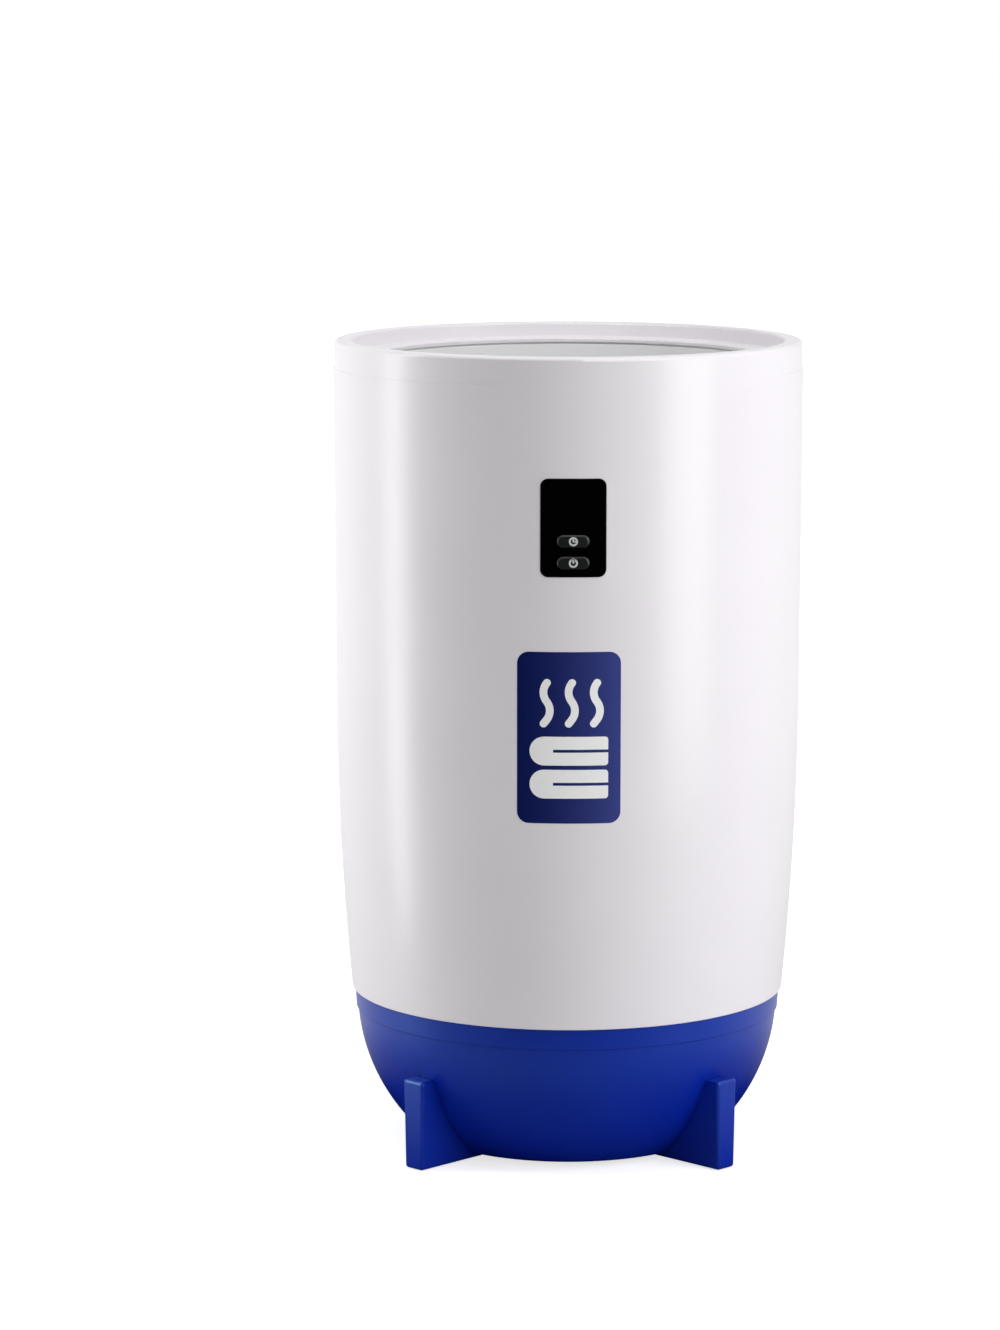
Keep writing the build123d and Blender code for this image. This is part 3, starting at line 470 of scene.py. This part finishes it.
def foldedTowel(height):
    # Seen from its end: round at the fold, with a slit between its two layers
    middle = (label["middle"][0], label["middle"][1] + height)
    towel = flatSheet("foldedTowel", middle, picture["towelSize"])
    right = middle[0] + picture["towelSize"][0] / 2
    slitEnd = right - picture["slitLength"]
    roundCorners(towel, picture["foldRound"], lambda x, y, z: x < middle[0])
    roundCorners(towel, picture["endRound"], lambda x, y, z: x > right - picture["endReach"])
    cutAt(towel, "z", middle[1] - picture["slit"] / 2)
    cutAt(towel, "z", middle[1] + picture["slit"] / 2)
    cutAt(towel, "x", slitEnd)
    dropFaces(towel, lambda x, y, z: abs(z - middle[1]) < picture["slit"] / 2 and x > slitEnd)
    return towel


def heatWave(x):
    # A leaning bar whose top edge is spun one way, then back the other way, and drawn out to its end
    lean = math.radians(picture["lean"])
    tilt, rise = math.sin(lean), math.cos(lean)
    foot = (label["middle"][0] + x, label["middle"][1] + picture["waveFoot"])
    wave = flatSheet("heatWave", foot, (picture["stroke"], 2 * picture["end"]), lean)

    def along(x, z):
        return (x - foot[0]) * tilt + (z - foot[1]) * rise

    pickVerts(wave, lambda x, y, z: along(x, z) > 0)
    joint = [foot[0] + picture["end"] * tilt, foot[1] + picture["end"] * rise]
    for side in (-1, 1):
        centre = (joint[0] + side * picture["bend"] * rise, printPlane, joint[1] + picture["bend"] * tilt)
        bpy.ops.mesh.spin(steps=picture["steps"], angle=-2 * side * lean, axis=(0, 1, 0),
                          center=[c * mm for c in centre])
        joint[1] += 2 * picture["bend"] * tilt
    bpy.ops.mesh.extrude_region_move(TRANSFORM_OT_translate={
        "value": (picture["end"] * tilt * mm, 0, picture["end"] * rise * mm)})
    bpy.ops.object.mode_set(mode="OBJECT")
    last = along(*joint) + picture["end"] / 2
    roundCorners(wave, picture["stroke"] / 2 - cornerSpare, lambda x, y, z: not 0 < along(x, z) < last)
    return wave


def makePicture():
    lowest, *higher = picture["towelHeights"]
    leftmost, *others = picture["waveSpots"]
    towel = foldedTowel(lowest)
    wave = heatWave(leftmost)
    towels = [towel] + [copyAside(towel, 0, height - lowest) for height in higher]
    waves = [wave] + [copyAside(wave, x - leftmost, 0) for x in others]
    drawing = joinAll("labelPicture", towels + waves)
    layOn(drawing, nodes["outer_shell"], picture)
    drawing.data.materials.append(printedInk("whiteLabelInk", picture))
    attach(drawing, "housing")


makePicture()
print("picture laid on the label")

# The symbols on the two buttons: a clock and the usual power sign; lengths in millimetres
symbol = {
    "lift": 0.05, "depth": 0.045, "slices": (1.0, 2.0), "colours": ("#C9CDCD", "#D3D6D6"), "rough": 0.45,
    "mottle": 0.4, "sides": 48, "radius": 2.72, "stroke": 1.12, "handWidth": 0.95, "hourHand": 1.45,
    "minuteHand": 1.55, "gap": 2.1, "bar": 3.2}


def buttonMiddle(button):
    low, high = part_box(button)
    return ((low[0] + high[0]) / 2 / mm, (low[2] + high[2]) / 2 / mm)


def symbolRing(middle):
    bpy.ops.object.select_all(action="DESELECT")
    bpy.ops.mesh.primitive_circle_add(
        vertices=symbol["sides"], radius=symbol["radius"] * mm, fill_type="NGON",
        rotation=(math.pi / 2, 0, 0), location=(middle[0] * mm, printPlane * mm, middle[1] * mm))
    ring = bpy.context.active_object
    applyPlace(ring)
    bpy.ops.object.mode_set(mode="EDIT")
    bpy.ops.mesh.select_mode(type="FACE")
    bpy.ops.mesh.select_all(action="SELECT")
    bpy.ops.mesh.inset(thickness=symbol["stroke"] * mm)
    bpy.ops.mesh.delete(type="FACE")
    bpy.ops.object.mode_set(mode="OBJECT")
    return ring


def symbolBar(middle, size):
    bar = flatSheet("bar", middle, size)
    roundCorners(bar, min(size) / 2 - cornerSpare)
    return bar


def clockSign(middle):
    half = symbol["handWidth"] / 2
    hour, minute = symbol["hourHand"], symbol["minuteHand"]
    return [symbolRing(middle),
            symbolBar((middle[0], middle[1] + minute / 2 - half / 2), (2 * half, minute + half)),
            symbolBar((middle[0] + hour / 2 + half / 2, middle[1]), (hour - half, 2 * half))]


def powerSign(middle):
    ring = symbolRing(middle)
    for side in (-1, 1):
        cutAt(ring, "x", middle[0] + side * symbol["gap"] / 2)
    dropFaces(ring, lambda x, y, z: abs(x - middle[0]) < symbol["gap"] / 2 and z > middle[1])
    rise = symbol["radius"] + symbol["stroke"] / 4 - symbol["bar"] / 2
    return [ring, symbolBar((middle[0], middle[1] + rise), (symbol["stroke"], symbol["bar"]))]


signs = (("timer_button", "timerSymbol", clockSign), ("power_button", "powerSymbol", powerSign))


def makeSymbols():
    ink = printedInk("paleSymbolInk", symbol)
    for body, name, draw in signs:
        sign = joinAll(name, draw(buttonMiddle(body)))
        layOn(sign, nodes[body], symbol)
        sign.data.materials.clear()
        sign.data.materials.append(ink)
        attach(sign, body)


makeSymbols()
print("button symbols laid on")

# Two tall softboxes at the sides, one overhead, one behind that gloss doesn't show, and a dim room.
# A darker strip stays in front. Metres, degrees from the front and watts.
studio = {
    "right": {"azimuth": 56.0, "distance": 1.15, "height": 0.6, "size": (0.55, 1.4), "power": 9.7},
    "left": {"azimuth": -83.0, "distance": 0.55, "height": 0.35, "size": (0.12, 1.0), "power": 2.1},
    "rear": {"azimuth": 180.0, "distance": 1.4, "height": 0.5, "size": (0.9, 1.2), "power": 4.0,
             "gloss": False},
    "top": {"azimuth": 0.0, "distance": 0.05, "height": 1.9, "size": (1.4, 1.4), "power": 10.5},
    "aim": 0.25, "room": 0.305, "gloss": (0.02, 0.80), "glossSpan": (-0.9, 0.0), "floor": 0.68,
    "floorGlow": (0.72, 1.0), "glowSpan": (0.4, 2.0), "behind": (-0.4, 0.0), "mirrorSpan": (0.15, 0.35),
    "floorSize": 14.0}


def softbox(name, look):
    turn = math.radians(look["azimuth"])
    place = Vector((look["distance"] * math.sin(turn), -look["distance"] * math.cos(turn), look["height"]))
    bpy.ops.object.light_add(type="AREA", location=place)
    lamp = bpy.context.active_object
    lamp.name = name
    lamp.data.shape = "RECTANGLE"
    lamp.data.size, lamp.data.size_y = look["size"]
    lamp.data.energy = look["power"]
    lamp.rotation_euler = (Vector((0, 0, studio["aim"])) - place).to_track_quat("-Z", "Y").to_euler()
    lamp.visible_camera = False
    lamp.visible_glossy = look.get("gloss", True)


def makeRoom():
    # The camera sees plain white, gloss sees it bright at the sides and back, and the light itself is dim
    room = bpy.data.worlds.new("studioRoom")
    scene.world = room
    tree = bareTree(room)
    ray = addNode(tree, "ShaderNodeLightPath").outputs
    way = addNode(tree, "ShaderNodeTexCoord").outputs["Generated"]
    depth = addNode(tree, "ShaderNodeSeparateXYZ", None, {"Vector": way}).outputs["Y"]
    sheen = addNode(tree, "ShaderNodeMapRange", {
        "From Min": studio["glossSpan"][0], "From Max": studio["glossSpan"][1],
        "To Min": studio["gloss"][0], "To Max": studio["gloss"][1]}, {"Value": depth}).outputs["Result"]
    mirrored = addNode(tree, "ShaderNodeMath", {"operation": "MAXIMUM"},
                       {0: ray["Is Glossy Ray"], 1: ray["Is Transmission Ray"]}).outputs[0]
    inner = addNode(tree, "ShaderNodeMix", {"data_type": "FLOAT", "A": studio["room"]},
                    {"Factor": mirrored, "B": sheen}).outputs["Result"]
    outer = addNode(tree, "ShaderNodeMix", {"data_type": "FLOAT", "B": 1.0},
                    {"Factor": ray["Is Camera Ray"], "A": inner}).outputs["Result"]
    glow = addNode(tree, "ShaderNodeBackground", {"Color": white}, {"Strength": outer})
    addNode(tree, "ShaderNodeOutputWorld", None, {"Surface": glow.outputs["Background"]})


def whitePaper():
    # The camera sees it glow to white with a faint shadow; gloss sees that glow behind the body, not near it
    mat = bpy.data.materials.new("whitePaper")
    tree = bareTree(mat)
    ray = addNode(tree, "ShaderNodeLightPath").outputs
    place = addNode(tree, "ShaderNodeTexCoord").outputs["Object"]
    away = addNode(tree, "ShaderNodeVectorMath", {"operation": "LENGTH"}, {0: place}).outputs["Value"]
    glow = addNode(tree, "ShaderNodeMapRange", {
        "From Min": studio["glowSpan"][0], "From Max": studio["glowSpan"][1],
        "To Min": studio["floorGlow"][0], "To Max": studio["floorGlow"][1]},
        {"Value": away}).outputs["Result"]
    depth = addNode(tree, "ShaderNodeSeparateXYZ", None, {"Vector": place}).outputs["Y"]
    behind = addNode(tree, "ShaderNodeMapRange", {
        "From Min": studio["behind"][0], "From Max": studio["behind"][1]},
        {"Value": depth}).outputs["Result"]
    clear = addNode(tree, "ShaderNodeMapRange", {
        "From Min": studio["mirrorSpan"][0], "From Max": studio["mirrorSpan"][1]},
        {"Value": away}).outputs["Result"]
    shown = addNode(tree, "ShaderNodeMath", {"operation": "MULTIPLY"}, {0: clear, 1: behind}).outputs[0]
    mirrored = addNode(tree, "ShaderNodeMath", {"operation": "MULTIPLY"},
                       {0: ray["Is Glossy Ray"], 1: shown}).outputs[0]
    seen = addNode(tree, "ShaderNodeMath", {"operation": "MAXIMUM"},
                   {0: ray["Is Camera Ray"], 1: mirrored}).outputs[0]
    strength = addNode(tree, "ShaderNodeMath", {"operation": "MULTIPLY"}, {0: glow, 1: seen}).outputs[0]
    matt = addNode(tree, "ShaderNodeMix", {
        "data_type": "RGBA", "A": [studio["floor"]] * 3 + [1.0], "B": black},
        {"Factor": ray["Is Glossy Ray"]}).outputs["Result"]
    paper = addNode(tree, "ShaderNodeBsdfDiffuse", None, {"Color": matt})
    lit = addNode(tree, "ShaderNodeEmission", {"Color": white}, {"Strength": strength})
    both = addNode(tree, "ShaderNodeAddShader", None, {0: paper.outputs["BSDF"], 1: lit.outputs["Emission"]})
    addNode(tree, "ShaderNodeOutputMaterial", None, {"Surface": both.outputs["Shader"]})
    return mat


def makeFloor():
    bpy.ops.object.select_all(action="DESELECT")
    bpy.ops.mesh.primitive_plane_add(size=studio["floorSize"])
    floor = bpy.context.active_object
    floor.name = "studioFloor"
    floor.data.materials.append(whitePaper())


for side in ("right", "left", "rear", "top"):
    softbox(side + "Softbox", studio[side])
makeRoom()
makeFloor()
print("studio lit")
